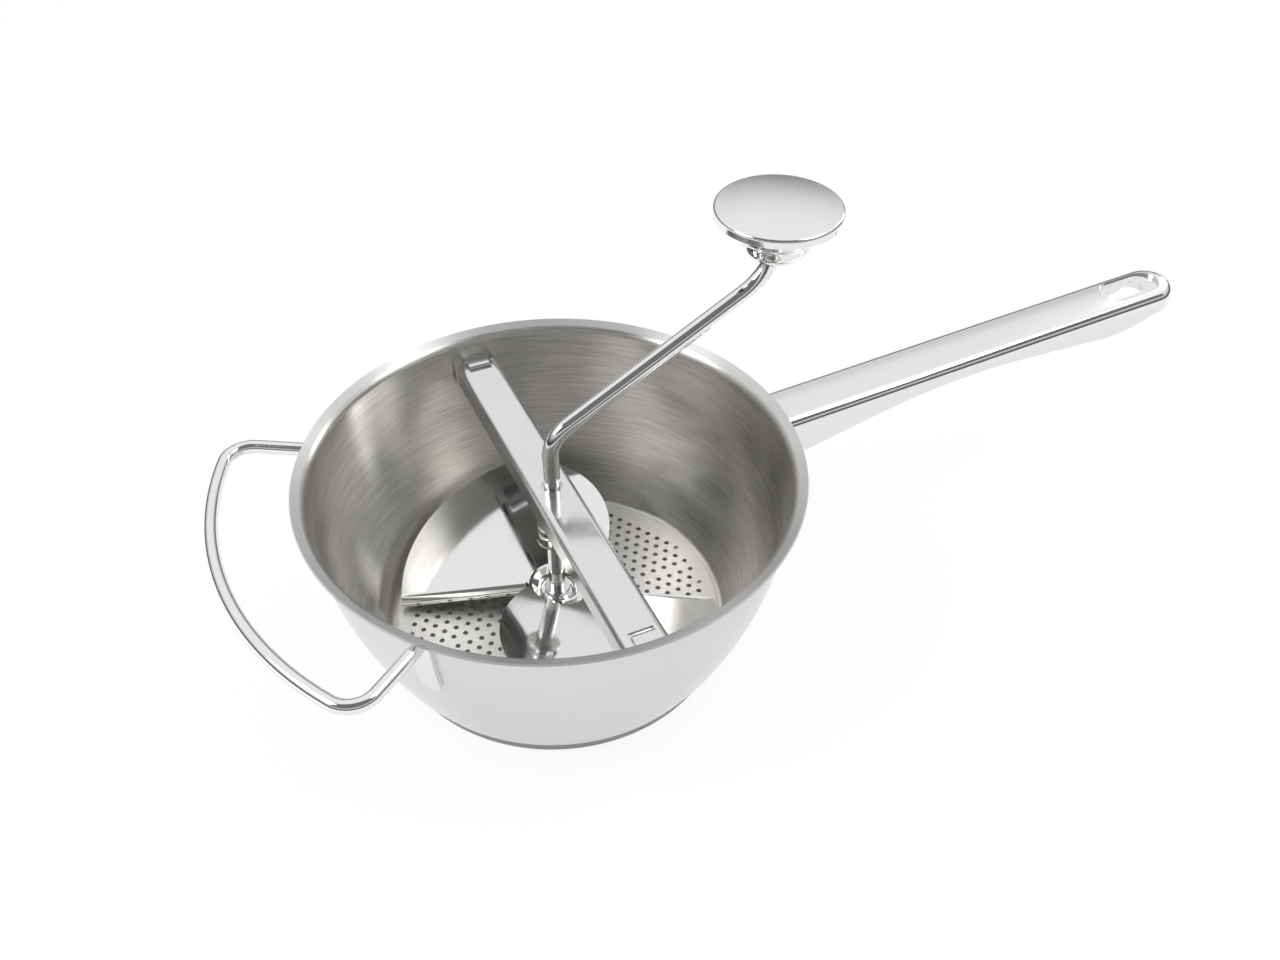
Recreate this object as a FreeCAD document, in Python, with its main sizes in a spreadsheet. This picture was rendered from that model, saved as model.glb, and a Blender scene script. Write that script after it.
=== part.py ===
import FreeCAD, Part
import math
import os
import re

import Sketcher

# A hand cranked food mill. Millimetres, +Z up, origin in the middle of the foot's bottom face.
# +X runs along the long handle, Y along the crossbar.

doc = FreeCAD.newDocument("FoodMill")
sheet = doc.addObject("Spreadsheet::Sheet", "Sizes")


def wall_inside(z):
    """The bowl's inner radius at a height."""
    return f"(wall_centre_x + sqrt((wall_radius - bowl_sheet) ^ 2 - ({z} - wall_centre_z) ^ 2))"


SIZES = {
    # bowl and foot
    "rim_radius": 105.0,
    "bowl_height": 91.3,
    "lip_width": 4.8,
    "lip_rise": 2.2,
    "bowl_sheet": 1.0,
    "wall_radius": 190.0,
    "floor_radius": 74.8,
    "floor_bend": 2.5,
    "lip_bend": 2.5,
    "ledge_width": 8.8,
    "foot_height": 4.0,
    "foot_inset": 1.4,
    "foot_sheet": 1.0,
    "foot_flange": 4.0,
    # sieve disc
    "disc_gap": 3.0,
    "disc_sheet": 1.0,
    "hole_radius": 1.15,
    "hole_pitch": 5.46,
    "disc_border": 3.4,
    "disc_centre": 9.5,
    "seam_extra": 1.1,
    "sieve_turn": 0.0,
    # eyelet in the sieve
    "eyelet_wall": 1.7,
    "eyelet_lip": 2.3,
    "eyelet_flange": 0.8,
    "eyelet_depth": 1.6,
    "running_gap": 0.05,
    # crank rod
    "rod_radius": 3.5,
    "rod_rounding": 0.8,
    "shaft_tail": 0.8,
    "arm_clearance": 24.9,
    "arm_rise": 47.9,
    "crank_reach": 103.0,
    "lower_bend": 14.0,
    "upper_bend": 24.0,
    "pin_length": 28.2,
    "crank_azimuth": 4.2,
    # blade
    "hub_clearance": 14.4,
    "hub_radius": 12.5,
    "hub_rise": 1.9,
    "hub_depth": 3.0,
    "dish_radius": 11.3,
    "dish_depth": 3.2,
    "dish_floor_radius": 7.4,
    "dish_bend": 3.0,
    "blade_tilt": 10.8,
    "blade_azimuth": -63.0,
    "blade_sheet": 1.2,
    "blade_gap": 0.9,
    "wing_radius": 69.0,
    "wing_corner_x": -64.5,
    "wing_corner_y": 45.0,
    "trail_radius": 44.5,
    "blade_wall_gap": 3.8,
    "fold_lean": 37.3,
    "fold_inner_x": -13.5,
    "fold_inner_y": -6.3,
    "fold_bend": 4.0,
    "fold_angle": 72.0,
    "fold_length": 2.0,
    "fold_overlap": 2.0,
    "wing_root_reach": 8.5,
    "wing_root_rise": 7.0,
    # collar and cross pins
    "collar_wall": 2.2,
    "collar_height": 4.0,
    "pin_radius": 1.0,
    "blade_pin_length": 22.0,
    "spring_pin_length": 13.0,
    # crossbar
    "bar_drop": 10.9,
    "bar_gap": 4.6,
    "bar_width": 18.6,
    "bar_depth": 11.0,
    "bar_sheet": 1.2,
    "bar_bend": 3.0,
    "bar_hole_gap": 1.0,
    "slot_play": 0.7,
    "slot_length": 4.8,
    "slot_land": 2.4,
    # hooks
    "hook_width": 9.7,
    "hook_sheet": 1.2,
    "hook_drop": 2.8,
    "hook_gap": 0.2,
    "hook_pad": 13.0,
    "hook_bend": 2.0,
    # spring and washers
    "spring_wire": 0.75,
    "spring_radius": 6.4,
    "spring_turns": 6.0,
    "spring_length": 27.2,
    "washer_radius": 7.6,
    "washer_sheet": 1.0,
    "washer_gap": 0.1,
    # long handle
    "handle_overlap": 7.5,
    "handle_drop": 5.1,
    "handle_length": 223.0,
    "handle_rise": 2.9,
    "handle_width": 25.0,
    "handle_sheet": 1.2,
    "handle_bend": 5.0,
    "handle_crown": 1.6,
    "crown_radius": 38.0,
    "tip_bend": 12.0,
    "root_depth": 21.0,
    "waist_place": 93.0,
    "waist_depth": 5.4,
    "grip_place": 188.0,
    "grip_depth": 15.2,
    "tip_depth": 5.5,
    "waist_bend": 300.0,
    "grip_bend": 60.0,
    "hang_length": 21.0,
    "hang_width": 10.4,
    "hang_inset": 37.0,
    "hang_collar": 3.4,
    "recess_start": 1.0,
    "recess_reach": 9.0,
    "recess_margin": 2.8,
    "recess_depth": 1.8,
    # loop handle
    "loop_wire": 2.9,
    "loop_drop": 5.6,
    "loop_overlap": 6.0,
    "loop_spread": 37.1,
    "loop_shoulder": 5.9,
    "loop_half_width": 80.2,
    "loop_bend": 10.6,
    "loop_front_radius": 142.5,
    "loop_turn": 183.3,
    "tab_length": 28.0,
    "tab_width": 8.6,
    "tab_sheet": 2.0,
    # knob
    "knob_radius": 26.0,
    "knob_height": 21.5,
    "knob_crown": 2.2,
    "knob_skirt": 3.6,
    "knob_sheet": 1.0,
    "knob_rim_bend": 1.4,
    "neck_rise": 17.3,
    "waist_radius": 15.3,
    "waist_rise": 9.4,
    "knob_base_radius": 12.6,
    "mouth_radius": 7.9,
    "shell_bend": 8.0,
    "waist_bend_radius": 5.0,
    "bush_wall": 2.85,
    "bush_inset": 11.3,
    "bush_length": 6.8,
    "bush_flange": 1.6,
    "clip_wall": 2.1,
    "clip_height": 1.4,
    "end_play": 0.3,
    "pin_overhang": 0.5,
}

# What follows from the sizes, each from those above it.
FOLLOWS = {
    # bowl, foot and sieve
    "lip_root_radius": "rim_radius - lip_width",
    "lip_root_height": "bowl_height - bowl_sheet - lip_rise",
    "wall_run": "lip_root_radius - floor_radius",
    "wall_climb": "lip_root_height - foot_height",
    "wall_chord": "sqrt(wall_run ^ 2 + wall_climb ^ 2)",
    "wall_sag": "sqrt(wall_radius ^ 2 - wall_chord ^ 2 / 4) / wall_chord",
    "wall_centre_x": "(floor_radius + lip_root_radius) / 2 - wall_climb * wall_sag",
    "wall_centre_z": "(foot_height + lip_root_height) / 2 + wall_run * wall_sag",
    "outlet_radius": "floor_radius - ledge_width",
    "foot_radius": "floor_radius - foot_inset",
    "ledge_top": "foot_height + bowl_sheet",
    "disc_radius": "floor_radius - disc_gap",
    "disc_top": "ledge_top + disc_sheet",
    "eyelet_radius": "rod_radius + eyelet_wall",
    "eyelet_bottom": "ledge_top - eyelet_depth",
    # crossbar, hooks and spring
    "bar_top": "bowl_height - bar_drop",
    "bar_reach": f"{wall_inside('bar_top')} - bar_gap",
    "slot_middle": "bar_reach - slot_land - slot_length / 2",
    "hook_underside": "bar_top + hook_gap",
    "hook_top": "hook_underside + hook_sheet",
    "hook_foot": "hook_top - hook_pad",
    "spring_high": "bar_top - bar_sheet - washer_sheet",
    "spring_low": "spring_high - spring_length",
    "spring_seat": "spring_low - washer_sheet",
    # crank rod and blade
    "shaft_end": "eyelet_bottom - shaft_tail",
    "arm_height": "bar_top + arm_clearance",
    "arm_end": "arm_height + arm_rise",
    "pin_top": "arm_end + pin_length",
    "hub_height": "disc_top + hub_clearance",
    "hub_rim": "hub_height + hub_rise",
    "hub_floor": "hub_height - dish_depth",
    "hub_base": "hub_floor - hub_depth",
    "fold_outer_x": "-(floor_radius - blade_wall_gap) * cos(fold_lean)",
    "fold_outer_y": "-(floor_radius - blade_wall_gap) * sin(fold_lean)",
    "fold_run": "sqrt((fold_outer_x - fold_inner_x) ^ 2 + (fold_outer_y - fold_inner_y) ^ 2)",
    "fold_heading": "atan2(fold_outer_y - fold_inner_y; fold_outer_x - fold_inner_x)",
    "fold_corner": "fold_bend * tan(fold_angle / 2)",
    # handles
    "handle_root": "rim_radius - handle_overlap",
    "handle_height": "bowl_height - handle_drop",
    "hang_middle": "handle_length - hang_inset + hang_length / 2",
    "loop_height": "bowl_height - loop_drop",
    "loop_root_x": "(rim_radius - loop_overlap) * cos(loop_spread)",
    "loop_root_y": "(rim_radius - loop_overlap) * sin(loop_spread)",
    "loop_corner": "rim_radius + loop_shoulder",
    # knob
    "bush_radius": "rod_radius + bush_wall",
    "clip_radius": "rod_radius + clip_wall",
    "bush_top": "pin_top - pin_overhang - clip_height - end_play",
    "bush_bottom": "bush_top - bush_length",
    "knob_bottom": "bush_bottom - bush_inset",
    "waist_height": "knob_bottom + waist_rise",
    "knob_neck": "knob_bottom + neck_rise",
    "knob_edge": "knob_bottom + knob_height",
}

for row, (alias, number) in enumerate(SIZES.items(), start=1):
    sheet.set(f"A{row}", alias)
    sheet.set(f"B{row}", str(number))
    sheet.setAlias(f"B{row}", alias)
for row, (alias, formula) in enumerate(FOLLOWS.items(), start=1):
    sheet.set(f"C{row}", alias)
    sheet.set(f"D{row}", f"={formula}")
    sheet.setAlias(f"D{row}", alias)
doc.recompute()

ORIGIN = FreeCAD.Vector(0, 0, 0)
AHEAD = FreeCAD.Vector(1, 0, 0)
ACROSS = FreeCAD.Vector(0, 1, 0)
UP = FreeCAD.Vector(0, 0, 1)

# How a sketch lies: its own x and y run along these axes of the part.
XY = FreeCAD.Rotation()
XZ = FreeCAD.Rotation(FreeCAD.Vector(1, 0, 0), 90)
YZ = FreeCAD.Rotation(FreeCAD.Vector(1, 1, 1), 120)

parts = {}
first_steps = {}


def named(expression):
    """Put the sheet's name before every size in an expression."""
    return re.sub(
        r"[a-z_]+",
        lambda word: f"Sizes.{word[0]}" if word[0] in SIZES or word[0] in FOLLOWS else word[0],
        str(expression),
    )


def value(expression):
    """The number that an expression of sizes gives."""
    result = sheet.evalExpression(named(expression))
    return float(getattr(result, "Value", result))


def bind(thing, **formulas):
    """Tie an object's properties to the sheet; two underscores stand for a dot."""
    for name, expression in formulas.items():
        thing.setExpression(name.replace("__", "."), named(expression))
    return thing


def make(kind, name, **properties):
    """Add an object to the document and set its plain properties."""
    thing = doc.addObject(kind, name)
    for key, setting in properties.items():
        setattr(thing, key, setting)
    return thing


def keep(name, thing):
    """Label a finished piece: the label names its file."""
    thing.Label = name
    parts[name] = thing
    return thing


# Sketches


def pin_down(sketch, geometry, point, x, y):
    """Tie one point of a sketch to a pair of expressions."""
    for kind, axis, expression in (("DistanceX", -2, x), ("DistanceY", -1, y)):
        if expression == "0":
            sketch.addConstraint(Sketcher.Constraint("PointOnObject", geometry, point, axis))
            continue
        index = sketch.addConstraint(
            Sketcher.Constraint(kind, -1, 1, geometry, point, value(expression))
        )
        sketch.setExpression(f"Constraints[{index}]", named(expression))


def tie_radius(sketch, geometry, expression):
    """Tie the radius of an arc or circle."""
    index = sketch.addConstraint(Sketcher.Constraint("Radius", geometry, value(expression)))
    sketch.setExpression(f"Constraints[{index}]", named(expression))


def arc_between(start, end, centre):
    """The shorter arc from start to end, and whether it runs anticlockwise."""
    first = math.atan2(start.y - centre.y, start.x - centre.x)
    last = math.atan2(end.y - centre.y, end.x - centre.x)
    anticlockwise = (last - first) % (2 * math.pi) < math.pi
    if not anticlockwise:
        first, last = last, first
    circle = Part.Circle(centre, UP, (start - centre).Length)
    return Part.ArcOfCircle(circle, first, last if last > first else last + 2 * math.pi), anticlockwise


def path(name, lie, corners, bends=None, bulges=None, closed=False):
    """A sketch through corners given as pairs of expressions.

    bends rounds a corner, by its number, with a radius. bulges turns the side after a corner
    into an arc of a radius: the arc's centre lies to the side's left, or right with a minus.
    """
    bends = bends or {}
    bulges = bulges or {}
    sketch = make("Sketcher::SketchObject", name, Placement=FreeCAD.Placement(ORIGIN, lie))
    points = [FreeCAD.Vector(value(x), value(y), 0) for x, y in corners]
    first_steps[name] = (lie * points[0], lie * (points[1] - points[0]).normalize())
    count = len(points)
    arrive, leave, rounds = list(points), list(points), {}
    for index, radius in bends.items():
        corner = points[index]
        back = (points[index - 1] - corner).normalize()
        ahead = (points[(index + 1) % count] - corner).normalize()
        half = back.getAngle(ahead) / 2
        reach = value(radius) / math.tan(half)
        arrive[index] = corner + back * reach
        leave[index] = corner + ahead * reach
        middle = (back + ahead).normalize()
        rounds[index] = corner + middle * (value(radius) / math.sin(half))
    sides = {}
    for index in range(count if closed else count - 1):
        start, end = leave[index], arrive[(index + 1) % count]
        if index in bulges:
            sign = -1 if bulges[index].startswith("-") else 1
            radius = value(bulges[index].lstrip("-"))
            along = (end - start).normalize()
            across = FreeCAD.Vector(-along.y, along.x, 0) * sign
            height = math.sqrt(radius**2 - ((end - start).Length / 2) ** 2)
            arc, forward = arc_between(start, end, (start + end) / 2 + across * height)
            sides[index] = (sketch.addGeometry(arc), 1 if forward else 2, 2 if forward else 1)
            tie_radius(sketch, sides[index][0], bulges[index].lstrip("-"))
        else:
            sides[index] = (sketch.addGeometry(Part.LineSegment(start, end)), 1, 2)
    for index in range(count):
        before = sides.get((index - 1) % count if closed else index - 1)
        after = sides.get(index)
        if index not in bends:
            side, point = (after[0], after[1]) if after else (before[0], before[2])
            pin_down(sketch, side, point, *corners[index])
            if before and after:
                sketch.addConstraint(
                    Sketcher.Constraint("Coincident", before[0], before[2], after[0], after[1])
                )
            continue
        arc, forward = arc_between(arrive[index], leave[index], rounds[index])
        arc = sketch.addGeometry(arc)
        first, last = (1, 2) if forward else (2, 1)
        sketch.addConstraint(Sketcher.Constraint("Tangent", before[0], before[2], arc, first))
        sketch.addConstraint(Sketcher.Constraint("Tangent", arc, last, after[0], after[1]))
        tie_radius(sketch, arc, bends[index])
        corner = sketch.addGeometry(Part.Point(points[index]), True)
        pin_down(sketch, corner, 1, *corners[index])
        sketch.addConstraint(Sketcher.Constraint("PointOnObject", corner, 1, before[0]))
        sketch.addConstraint(Sketcher.Constraint("PointOnObject", corner, 1, after[0]))
    return sketch


def ring_at_start(name, spine, radius):
    """A circle square to the start of a path."""
    doc.recompute()
    sketch = make("Sketcher::SketchObject", name)
    sketch.AttachmentSupport = [(spine, "Edge1")]
    sketch.MapMode = "NormalToEdge"
    sketch.MapPathParameter = 0
    sketch.addGeometry(Part.Circle(ORIGIN, UP, value(radius)))
    sketch.addConstraint(Sketcher.Constraint("Coincident", 0, 3, -1, 1))
    tie_radius(sketch, 0, radius)
    return sketch


# Solids from sketches


def thicken(name, line, thickness):
    """A face between an open line and its copy to the left, or to the right with a minus."""
    strip = make("Part::Offset2D", name, Source=line, Mode="Skin", Join="Intersection", Fill=True)
    bind(strip, Value=thickness)
    doc.recompute()
    # The offset's own sign follows the plane it finds, so a point of the wanted side is tested.
    start, step = first_steps[line.Name]
    half = value(thickness) / 2
    left = (line.Placement.Rotation * UP).cross(step)
    probe = start + step * abs(half) + left * half
    if strip.Shape.distToShape(Part.Vertex(probe))[0] > abs(half) / 4:
        bind(strip, Value=f"-({thickness})")
    return strip


def spin(name, section):
    """Turn a section round the Z axis."""
    solid = make("Part::Revolution", name, Source=section, Axis=UP, Base=ORIGIN, Angle=360)
    solid.Solid = True
    return solid


def push(name, section, direction, forward, backward="0"):
    """Extrude a section."""
    solid = make("Part::Extrusion", name, Base=section, DirMode="Custom", Dir=direction, Solid=True)
    return bind(solid, LengthFwd=forward, LengthRev=backward)


def bend_rod(name, spine, radius):
    """Sweep a circle along every edge of a path."""
    section = ring_at_start(f"{name}_section", spine, radius)
    doc.recompute()
    edges = [f"Edge{number}" for number in range(1, len(spine.Shape.Edges) + 1)]
    rod = make("Part::Sweep", name, Sections=[section], Spine=(spine, edges), Solid=True)
    rod.Frenet = True
    return rod


def block(name, length, width, height, x="0", y="0", z="0"):
    """A box centred on x and y that stands on z."""
    solid = make("Part::Box", name)
    bind(solid, Length=length, Width=width, Height=height)
    bind(solid, Placement__Base__x=f"{x} - ({length}) / 2", Placement__Base__y=f"{y} - ({width}) / 2")
    return bind(solid, Placement__Base__z=z)


def pillar(name, radius, height, x="0", y="0", z="0"):
    """An upright cylinder that stands on z."""
    solid = make("Part::Cylinder", name)
    bind(solid, Radius=radius, Height=height)
    return bind(solid, Placement__Base__x=x, Placement__Base__y=y, Placement__Base__z=z)


def cross_pin(name, length, z):
    """A pin through the shaft, along Y."""
    pin = make("Part::Cylinder", name)
    pin.Placement = FreeCAD.Placement(ORIGIN, FreeCAD.Rotation(FreeCAD.Vector(1, 0, 0), -90))
    bind(pin, Radius="pin_radius", Height=length)
    return bind(pin, Placement__Base__y=f"-({length}) / 2", Placement__Base__z=z)


def turn(thing, angle, axis=UP):
    """Turn an object about an axis through its own origin by a size of the sheet."""
    thing.Placement = FreeCAD.Placement(thing.Placement.Base, FreeCAD.Rotation(axis, value(angle)))
    return bind(thing, Placement__Rotation__Angle=angle)


def cut(name, base, *tools):
    """Take tools away from a base."""
    tool = tools[0] if len(tools) == 1 else join(f"{name}_tools", *tools)
    return make("Part::Cut", name, Base=base, Tool=tool)


def join(name, *shapes):
    """Fuse shapes into one."""
    return make("Part::MultiFuse", name, Shapes=list(shapes), Refine=True)


def meet(name, *shapes):
    """What shapes have in common."""
    return make("Part::MultiCommon", name, Shapes=list(shapes))


def soften(name, base, radius_of):
    """Round edges: radius_of gives the size that an edge is rounded by, or None."""
    doc.recompute()
    chosen = []
    for index, edge in enumerate(base.Shape.Edges, start=1):
        radius = radius_of(edge)
        if radius:
            chosen.append((index, value(radius), value(radius)))
    if not chosen:
        raise ValueError(f"{name}: no edge to round")
    return make("Part::Fillet", name, Base=base, Edges=chosen)


def ring_near(edge, radius, height, reach):
    """Whether an edge is a circle round the Z axis, near a radius and a height."""
    if edge.Degenerated or not isinstance(edge.Curve, Part.Circle):
        return False
    centre = edge.Curve.Center
    gaps = (centre.x, centre.y, centre.z - value(height), edge.Curve.Radius - value(radius))
    return all(abs(gap) < reach for gap in gaps)


# Bowl: a spun sheet with a pouring lip, and a ledge inside its bottom

LIP_ROOT = ("lip_root_radius", "lip_root_height")
FLOOR_CORNER = ("floor_radius", "foot_height")


def bowl_bends(edge):
    """The radius of each bend of the bowl's sheet, inside and outside."""
    reach = 2 * value("bowl_sheet")
    if ring_near(edge, *LIP_ROOT, reach):
        outside = ring_near(edge, *LIP_ROOT, value("bowl_sheet") / 4)
        return "lip_bend" if outside else "lip_bend + bowl_sheet"
    if ring_near(edge, *FLOOR_CORNER, reach):
        outside = ring_near(edge, *FLOOR_CORNER, value("bowl_sheet") / 4)
        return "floor_bend + bowl_sheet" if outside else "floor_bend"
    return None


wall_line = path(
    "wall_line",
    XZ,
    [
        ("outlet_radius", "foot_height"),
        FLOOR_CORNER,
        LIP_ROOT,
        ("rim_radius", "bowl_height - bowl_sheet"),
    ],
    bulges={1: "wall_radius"},
)
bowl_shell = spin("bowl_shell", thicken("bowl_section", wall_line, "bowl_sheet"))
bowl = keep("bowl", soften("bowl_bent", bowl_shell, bowl_bends))

# Everything inside the bowl's outer face, to shape what is welded to the wall.
envelope_line = path(
    "envelope_line",
    XZ,
    [
        ("0", "foot_height"),
        FLOOR_CORNER,
        LIP_ROOT,
        ("rim_radius", "bowl_height - bowl_sheet"),
        ("rim_radius", "2 * bowl_height"),
        ("0", "2 * bowl_height"),
    ],
    bulges={1: "wall_radius"},
    closed=True,
)
bowl_envelope = soften("bowl_envelope", spin("envelope", envelope_line), bowl_bends)

# Foot: a band under the ledge, with a flange turned in

foot_line = path(
    "foot_line",
    XZ,
    [
        ("foot_radius", "0"),
        ("foot_radius", "foot_height"),
        ("foot_radius - foot_flange", "foot_height"),
    ],
)
keep("foot_ring", spin("foot_band", thicken("foot_section", foot_line, "foot_sheet")))

# Sieve disc: six sectors of round holes


def sieve_holes():
    """The centres of the sieve's holes: a triangular grid in each of six sectors."""
    pitch = value("hole_pitch")
    row = pitch * math.sqrt(3) / 2
    outer = value("disc_radius - disc_border - hole_radius")
    inner = value("disc_centre + hole_radius")
    count = int(outer / row) + 1
    for sector in range(6):
        first = math.radians(value("sieve_turn") + 60 * sector)
        along = FreeCAD.Vector(math.cos(first), math.sin(first), 0)
        over = FreeCAD.Vector(math.cos(first + math.pi / 3), math.sin(first + math.pi / 3), 0)
        apex = (along + over).normalize() * (row + value("seam_extra"))
        for i in range(count):
            for j in range(count):
                centre = apex + along * (i * pitch) + over * (j * pitch)
                if inner <= centre.Length <= outer:
                    yield centre


def ring(radius, centre=ORIGIN):
    """A circular wire."""
    return Part.Wire(Part.makeCircle(radius, centre))


disc_wires = [ring(value("disc_radius")), ring(value("eyelet_radius"))]
disc_wires += [ring(value("hole_radius"), centre) for centre in sieve_holes()]
disc_face = Part.makeFace(disc_wires, "Part::FaceMakerBullseye")
sieve_disc = make("Part::Feature", "sieve_disc", Shape=disc_face.extrude(UP * value("disc_sheet")))
sieve_disc.Placement = FreeCAD.Placement(UP * value("ledge_top"), XY)
keep("sieve_disc", sieve_disc)

# Eyelet in the middle of the sieve, clinched on both sides

EYELET_FLANGE = "eyelet_radius + eyelet_lip"
eyelet = join(
    "eyelet",
    pillar("eyelet_tube", "eyelet_radius", "disc_top - eyelet_bottom", z="eyelet_bottom"),
    pillar("eyelet_top", EYELET_FLANGE, "eyelet_flange", z="disc_top"),
    pillar("eyelet_clinch", EYELET_FLANGE, "eyelet_flange", z="ledge_top - eyelet_flange"),
)
eyelet_bore = pillar("eyelet_bore", "rod_radius + running_gap", "4 * hub_height")
keep("disc_bush", cut("disc_bush", eyelet, eyelet_bore))

# Crank rod: shaft, arm and knob pin, bent from one round rod

crank_line = path(
    "crank_line",
    XZ,
    [
        ("0", "shaft_end"),
        ("0", "arm_height"),
        ("crank_reach", "arm_end"),
        ("crank_reach", "pin_top"),
    ],
    bends={1: "lower_bend", 2: "upper_bend"},
)
blade_pin = keep("blade_pin", cross_pin("blade_pin", "blade_pin_length", "hub_floor - hub_depth / 2"))
spring_pin = keep("spring_pin", cross_pin("spring_pin", "spring_pin_length", "spring_seat - pin_radius"))
bent_rod = turn(bend_rod("bent_rod", crank_line, "rod_radius"), "crank_azimuth")


def rod_ends(edge):
    """The two end circles of the bent rod."""
    heights = (value("shaft_end"), value("pin_top"))
    flat = edge.BoundBox.ZLength < value("rod_rounding")
    at_end = any(abs(edge.BoundBox.Center.z - height) < value("rod_rounding") for height in heights)
    return "rod_rounding" if flat and at_end else None


keep("crank_rod", cut("crank_rod", soften("rounded_rod", bent_rod, rod_ends), blade_pin, spring_pin))


def on_shaft(name, radius, bore, height, z):
    """A round piece on the shaft."""
    blank = pillar(f"{name}_blank", radius, height, z=z)
    return cut(name, blank, pillar(f"{name}_bore", bore, height, z=z))


# Blade: a dished hub and two sloping wings, each with a folded lower edge

hub_line = path(
    "hub_line",
    XZ,
    [
        ("0", "hub_base"),
        ("hub_radius", "hub_base"),
        ("hub_radius", "hub_rim"),
        ("dish_radius", "hub_rim"),
        ("dish_floor_radius", "hub_floor"),
        ("0", "hub_floor"),
    ],
    bends={4: "dish_bend"},
    closed=True,
)

wing_outline = path(
    "wing_outline",
    XY,
    [
        ("wing_root_reach", "wing_root_rise"),
        ("wing_corner_x", "wing_corner_y"),
        ("fold_outer_x", "fold_outer_y"),
        ("fold_inner_x", "fold_inner_y"),
        ("-wing_root_reach", "-wing_root_rise"),
    ],
    bulges={0: "trail_radius", 1: "wing_radius"},
    closed=True,
)
wing_plate = push("wing_plate", wing_outline, UP, "0", "blade_sheet")
fold_line = path(
    "fold_line",
    XZ,
    [
        ("-fold_overlap", "0"),
        ("fold_corner", "0"),
        ("fold_corner + fold_length * cos(fold_angle)", "-fold_length * sin(fold_angle)"),
    ],
    bends={1: "fold_bend"},
)
wing_lip = push("wing_lip", thicken("fold_section", fold_line, "-blade_sheet"), ACROSS, "fold_run")
turn(wing_lip, "fold_heading + 90 deg")
bind(wing_lip, Placement__Base__x="fold_outer_x", Placement__Base__y="fold_outer_y")
wing_one = turn(join("wing_one", wing_plate, wing_lip), "blade_tilt", AHEAD)
bind(wing_one, Placement__Base__z="hub_height")
wing_two = make("Part::Compound", "wing_two", Links=[wing_one])
wing_two.Placement = FreeCAD.Placement(ORIGIN, FreeCAD.Rotation(UP, 180))
dish_bore = pillar("dish_bore", "dish_radius", "hub_height", z="hub_floor")
open_wings = cut("open_wings", join("both_wings", wing_one, wing_two), dish_bore)
pressed_blade = join("pressed_blade", spin("hub_dish", hub_line), open_wings)
below_blade = block(
    "below_blade",
    "2 * rim_radius",
    "2 * rim_radius",
    "rim_radius + disc_top + blade_gap",
    z="-rim_radius",
)
shaft_hole = pillar("shaft_hole", "rod_radius", "spring_seat")
trimmed_blade = turn(cut("trimmed_blade", pressed_blade, below_blade, shaft_hole), "blade_azimuth")
keep("blade", cut("blade", trimmed_blade, blade_pin))
keep(
    "hub_collar",
    on_shaft("hub_collar", "rod_radius + collar_wall", "rod_radius", "collar_height", "hub_floor"),
)

# Crossbar: a channel with a hole for the shaft and a slot near each end

bar_line = path(
    "bar_line",
    XZ,
    [
        ("-bar_width / 2", "bar_top - bar_depth"),
        ("-bar_width / 2", "bar_top"),
        ("bar_width / 2", "bar_top"),
        ("bar_width / 2", "bar_top - bar_depth"),
    ],
    bends={1: "bar_bend", 2: "bar_bend"},
)
bar_strip = thicken("bar_section", bar_line, "-bar_sheet")
bar_channel = push("bar_channel", bar_strip, ACROSS, "bar_reach", "bar_reach")
bar_openings = [pillar("bar_hole", "rod_radius + bar_hole_gap", "2 * bar_depth", z="bar_top - bar_depth")]
for side, middle in (("front", "-slot_middle"), ("back", "slot_middle")):
    slot = block(f"slot_{side}", "hook_width + slot_play", "slot_length", "bar_depth", y=middle)
    bar_openings.append(bind(slot, Placement__Base__z="bar_top - bar_depth / 2"))
keep("crossbar", cut("crossbar", bar_channel, *bar_openings))

# Hooks: strips welded to the wall that reach over the bar's ends and down into its slots

hook_line = path(
    "hook_line",
    YZ,
    [
        (wall_inside("hook_foot"), "hook_foot"),
        (wall_inside("hook_top"), "hook_top"),
        ("slot_middle - hook_sheet / 2", "hook_top"),
        ("slot_middle - hook_sheet / 2", "hook_underside - hook_drop"),
    ],
    bends={1: "hook_bend", 2: "hook_bend"},
)
hook_section = thicken("hook_section", hook_line, "hook_sheet")
hook_strip = push("hook_strip", hook_section, AHEAD, "hook_width / 2", "hook_width / 2")
keep("hook_back", cut("hook_back", hook_strip, bowl))
hook_opposite = make("Part::Compound", "hook_opposite", Links=[hook_strip])
hook_opposite.Placement = FreeCAD.Placement(ORIGIN, FreeCAD.Rotation(UP, 180))
keep("hook_front", cut("hook_front", hook_opposite, bowl))

# Spring between two washers, under the crossbar

keep(
    "lower_washer",
    on_shaft("lower_washer", "washer_radius", "rod_radius", "washer_sheet", "spring_seat"),
)
# The upper washer tapers, so its top fits between the bar's bends.
upper_blank = make("Part::Cone", "upper_blank")
bind(upper_blank, Radius1="washer_radius", Radius2="bar_width / 2 - bar_bend", Height="washer_sheet")
bind(upper_blank, Placement__Base__z="spring_high")
upper_bore = pillar("upper_bore", "rod_radius + washer_gap", "washer_sheet", z="spring_high")
keep("upper_washer", cut("upper_washer", upper_blank, upper_bore))
helix = make("Part::Helix", "helix")
bind(helix, Radius="spring_radius", Height="spring_length - 2 * spring_wire")
bind(helix, Pitch="(spring_length - 2 * spring_wire) / spring_turns")
bind(helix, Placement__Base__z="spring_low + spring_wire")
keep("spring", bend_rod("spring", helix, "spring_wire"))

# Long handle: a stamped channel with a rounded end and a hang hole


def slot_column(name, middle, length, half_width, height, z):
    """An upright column with a long round-ended outline."""
    run = f"({length} - 2 * {half_width})"
    return join(
        name,
        block(f"{name}_body", run, f"2 * {half_width}", height, x=middle, z=z),
        pillar(f"{name}_inner", half_width, height, x=f"{middle} - {run} / 2", z=z),
        pillar(f"{name}_outer", half_width, height, x=f"{middle} + {run} / 2", z=z),
    )


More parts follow.
